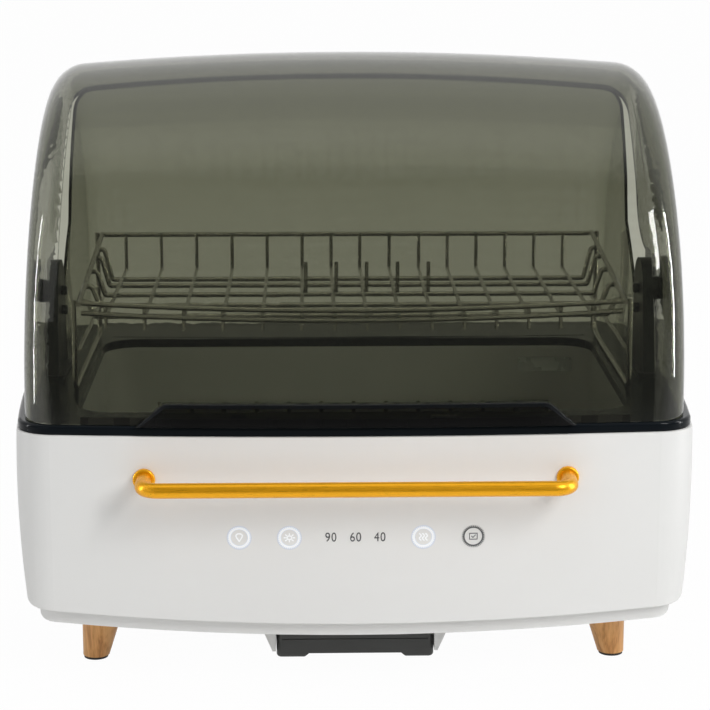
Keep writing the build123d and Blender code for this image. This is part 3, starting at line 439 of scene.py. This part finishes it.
def glyph_lines(kind):
    """Plain marks inside the touch rings, in millimetres from the ring's middle."""
    if kind == "drop":
        turns = [i * 2 * math.pi / 24 for i in range(25)]
        return [[(2.6 * math.sin(t) * (0.55 - 0.45 * math.cos(t)), 0.1 - 2.7 * math.cos(t))
                 for t in turns]]
    if kind == "rays":
        def at(radius, turn):
            return radius * math.cos(turn), radius * math.sin(turn)

        circle = [at(1.3, i * math.pi / 8) for i in range(17)]
        return [circle] + [[at(2.0, i * math.pi / 4), at(3.0, i * math.pi / 4)] for i in range(8)]
    if kind == "waves":
        return [[(x + 0.55 * math.sin(t * 1.7), t) for t in [-2.4 + i * 0.4 for i in range(13)]]
                for x in (-1.7, 0.0, 1.7)]
    half = 2.1
    return [[(-half, -half), (half, -half), (half, half), (-half, half), (-half, -half)],
            [(-1.0, 0.1), (-0.2, -0.9), (1.2, 1.0)]]


def glyph(center, kind, wide):
    def make(bm):
        for line in glyph_lines(kind):
            points = [(center + x * MARK_STRETCH[0], row_z + z * MARK_STRETCH[1]) for x, z in line]
            for quad in stroke(points, wide):
                slab_on_front(bm, quad, 0.00014)
    return make


for i, kind in enumerate(("drop", "rays", "waves", "select")):
    center = ring_places[i]
    is_lit = i < LIT_RINGS
    finish, slot = ("print_light", "ring_light") if is_lit else ("ring_dark", "black_matte")
    line_width = (0.80 if is_lit else 0.55) * MM
    new_piece("ring_ticks_%d" % (i + 1), ring_ticks(center), finish)
    new_piece("ring_mark_%d" % (i + 1), glyph(center, kind, line_width), finish)
    if is_lit:
        new_piece("ring_halo_%d" % (i + 1), ring_halo(center), "print_halo")


def number(text, x, finish):
    curve = bpy.data.curves.new("number_" + text, "FONT")
    curve.body = text
    curve.size = 9.6 * MM
    curve.align_x = "CENTER"
    curve.align_y = "CENTER"
    curve.extrude = 0.00012
    curve.space_character = 1.12
    obj = bpy.data.objects.new("number_" + text, curve)
    scene.collection.objects.link(obj)
    obj.rotation_euler = (math.radians(90), 0, 0)
    obj.location = (x, front_at(abs(x) + 5 * MM) - 0.00005, row_z)
    obj.scale = (0.82, 1, 1)
    curve.materials.append(finishes[finish].material)
    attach(obj, "base")


for text, x in (("90", -18.2 * MM), ("60", -0.6 * MM), ("40", 16.7 * MM)):
    number(text, x, "print_grey")


# ------------------------------------------------------------------ lid details
def grip_outline():
    """Half of the grip's edge, from its foot to the middle of its top, as (x, z) with rounded corners."""
    foot = Vector((155 * MM, frame_top + 0.4 * MM))
    top = Vector((136 * MM, frame_top + 17.4 * MM))
    corner = 5 * MM
    down = (foot - top).normalized()
    points = [foot]
    start, end = top + down * corner * 0.8, top - Vector((corner * 0.8, 0))
    for i in range(7):
        t = i / 6
        points.append((1 - t) ** 2 * start + 2 * t * (1 - t) * top + t ** 2 * end)
    for i in range(1, 13):
        points.append(Vector((end.x * (1 - i / 12), top.y)))
    return points


def grip_shade_ribbon(bm):
    """Painted shade: the dark edge of the finger grip as a near-black ribbon, as deep as the grip stands
    out.
    """
    half = grip_outline()
    path = [Vector((-p.x, p.y)) for p in half] + list(reversed(half[:-1]))
    rows = []
    for i, p in enumerate(path):
        a, b = path[max(i - 1, 0)], path[min(i + 1, len(path) - 1)]
        along = (b - a).normalized()
        out = Vector((-along.y, along.x))
        rim, back = front_at(p.x) - 3.12 * MM, front_at(p.x) + 3.2 * MM
        row = []
        section = (
            (0.12 * MM, rim + 0.5 * MM), (-0.4 * MM, rim), (-2.9 * MM, rim),
            (-3.3 * MM, rim + 0.5 * MM), (-3.3 * MM, back), (0.12 * MM, back),
        )
        for side, y in section:
            q = p + out * side
            row.append(bm.verts.new((q.x, y, max(q.y, frame_top + 0.45 * MM))))
        rows.append(row)
    for a, b in zip(rows, rows[1:]):
        for k in range(len(a)):
            m = (k + 1) % len(a)
            bm.faces.new((a[k], a[m], b[m], b[k]))
    bm.faces.new(list(reversed(rows[0])))
    bm.faces.new(rows[-1])


# the grip's dark edge is a separate piece of painted shade
smooth(new_piece("grip_edge_painted_shade", grip_shade_ribbon, "smoke_edge_painted_shade", "lid"), 35)


# ------------------------------------------------------------------ stage, lights, camera
def surroundings(tree, y, dim_to_white):
    """Two values for a ray that meets the surroundings: how white they are to it, and whether it shows them.

    They are white for rays that look at or through to them and for mirrored rays behind the part,
    and a tenth of white for mirrored rays before the part.
    """
    path = tree.nodes.new("ShaderNodeLightPath")
    behind = map_range(tree, y, dim_to_white, (0.10, 1.0))
    glossy = path.outputs["Is Glossy Ray"]
    mirrored = math_node(tree, "MULTIPLY", glossy, behind)
    seen = math_node(tree, "MAXIMUM", path.outputs["Is Camera Ray"], path.outputs["Is Transmission Ray"])
    return math_node(tree, "MAXIMUM", seen, mirrored), math_node(tree, "MAXIMUM", seen, glossy)


def white_seen(material, base, share):
    """Shown nearly white, with the shadow of the part kept."""
    tree = material.node_tree
    shader = tree.nodes["Principled BSDF"]
    shader.inputs["Base Color"].default_value = (*base, 1)
    shader.inputs["Roughness"].default_value = 0.9
    shader.inputs["Specular IOR Level"].default_value = 0.0
    white, shown = surroundings(tree, split_axes(tree, "Object")["Y"], (-1.0, -0.4))
    glow = tree.nodes.new("ShaderNodeEmission")
    tree.links.new(white, glow.inputs["Strength"])
    mix = tree.nodes.new("ShaderNodeMixShader")
    tree.links.new(math_node(tree, "MULTIPLY", shown, share), mix.inputs["Fac"])
    tree.links.new(shader.outputs["BSDF"], mix.inputs[1])
    tree.links.new(glow.outputs["Emission"], mix.inputs[2])
    tree.links.new(mix.outputs["Shader"], tree.nodes["Material Output"].inputs["Surface"])


floor_mesh = bpy.data.meshes.new("floor")
reach = 14
corners = [(-reach, -reach, 0), (reach, -reach, 0), (reach, reach, 0), (-reach, reach, 0)]
floor_mesh.from_pydata(corners, [], [(0, 1, 2, 3)])
floor = bpy.data.objects.new("floor", floor_mesh)
scene.collection.objects.link(floor)
floor_material = bpy.data.materials.new("floor")
floor_material.use_nodes = True
white_seen(floor_material, (0.75, 0.75, 0.75), 0.975)
floor_mesh.materials.append(floor_material)

world = bpy.data.worlds.new("studio")
scene.world = world
world.use_nodes = True
tree = world.node_tree
back = tree.nodes["Background"]
back.inputs["Color"].default_value = (1, 1, 1, 1)
# The studio is brighter overhead than low down for the light it gives.
axes = split_axes(tree, "Generated")
height = map_range(tree, axes["Z"], (0.0, 0.8), (0.26, 0.66))
white, shown = surroundings(tree, axes["Y"], (-0.45, -0.1))
given = math_node(tree, "MULTIPLY", math_node(tree, "SUBTRACT", 1.0, shown), height)
tree.links.new(math_node(tree, "ADD", white, given), back.inputs["Strength"])


def lamp(name, place, target, size, power):
    data = bpy.data.lights.new(name, "AREA")
    data.shape = "RECTANGLE"
    data.size, data.size_y = size
    data.energy = power
    obj = bpy.data.objects.new(name, data)
    scene.collection.objects.link(obj)
    obj.location = place
    obj.rotation_euler = (Vector(target) - Vector(place)).to_track_quat("-Z", "Y").to_euler()
    return obj


middle = (0, 0, 0.2)
lamp("key", (1.15, -1.35, 1.25), middle, (0.35, 0.9), 17.3)
lamp("fill", (-1.4, -1.5, 0.7), middle, (1.2, 1.2), 2.4)
top = lamp("top", (0.0, -0.25, 1.9), middle, (1.2, 0.8), 8)
top.visible_glossy = False
strips = (("strip_right", (1.15, -0.22, 0.42), 7), ("strip_left", (-1.15, -0.16, 0.36), 3))
for name, place, power in strips:
    strip = lamp(name, place, (0, place[1], 0.3), (0.05, 0.8), power)
    strip.visible_diffuse = False

camera_data = bpy.data.cameras.new("camera")
camera_data.lens = 112.64
camera_data.sensor_width = 36
camera_data.clip_end = 100
camera = bpy.data.objects.new("camera", camera_data)
scene.collection.objects.link(camera)
pitch, yaw = math.radians(12.4), math.radians(-1.3)
level = math.cos(pitch)
ahead = Vector((-math.sin(yaw) * level, math.cos(yaw) * level, -math.sin(pitch)))
camera.location = (-0.0354, front_y - 1.5153, 0.5817)
camera.rotation_euler = ahead.to_track_quat("-Z", "Y").to_euler()
scene.camera = camera
scene.view_settings.view_transform = "Standard"
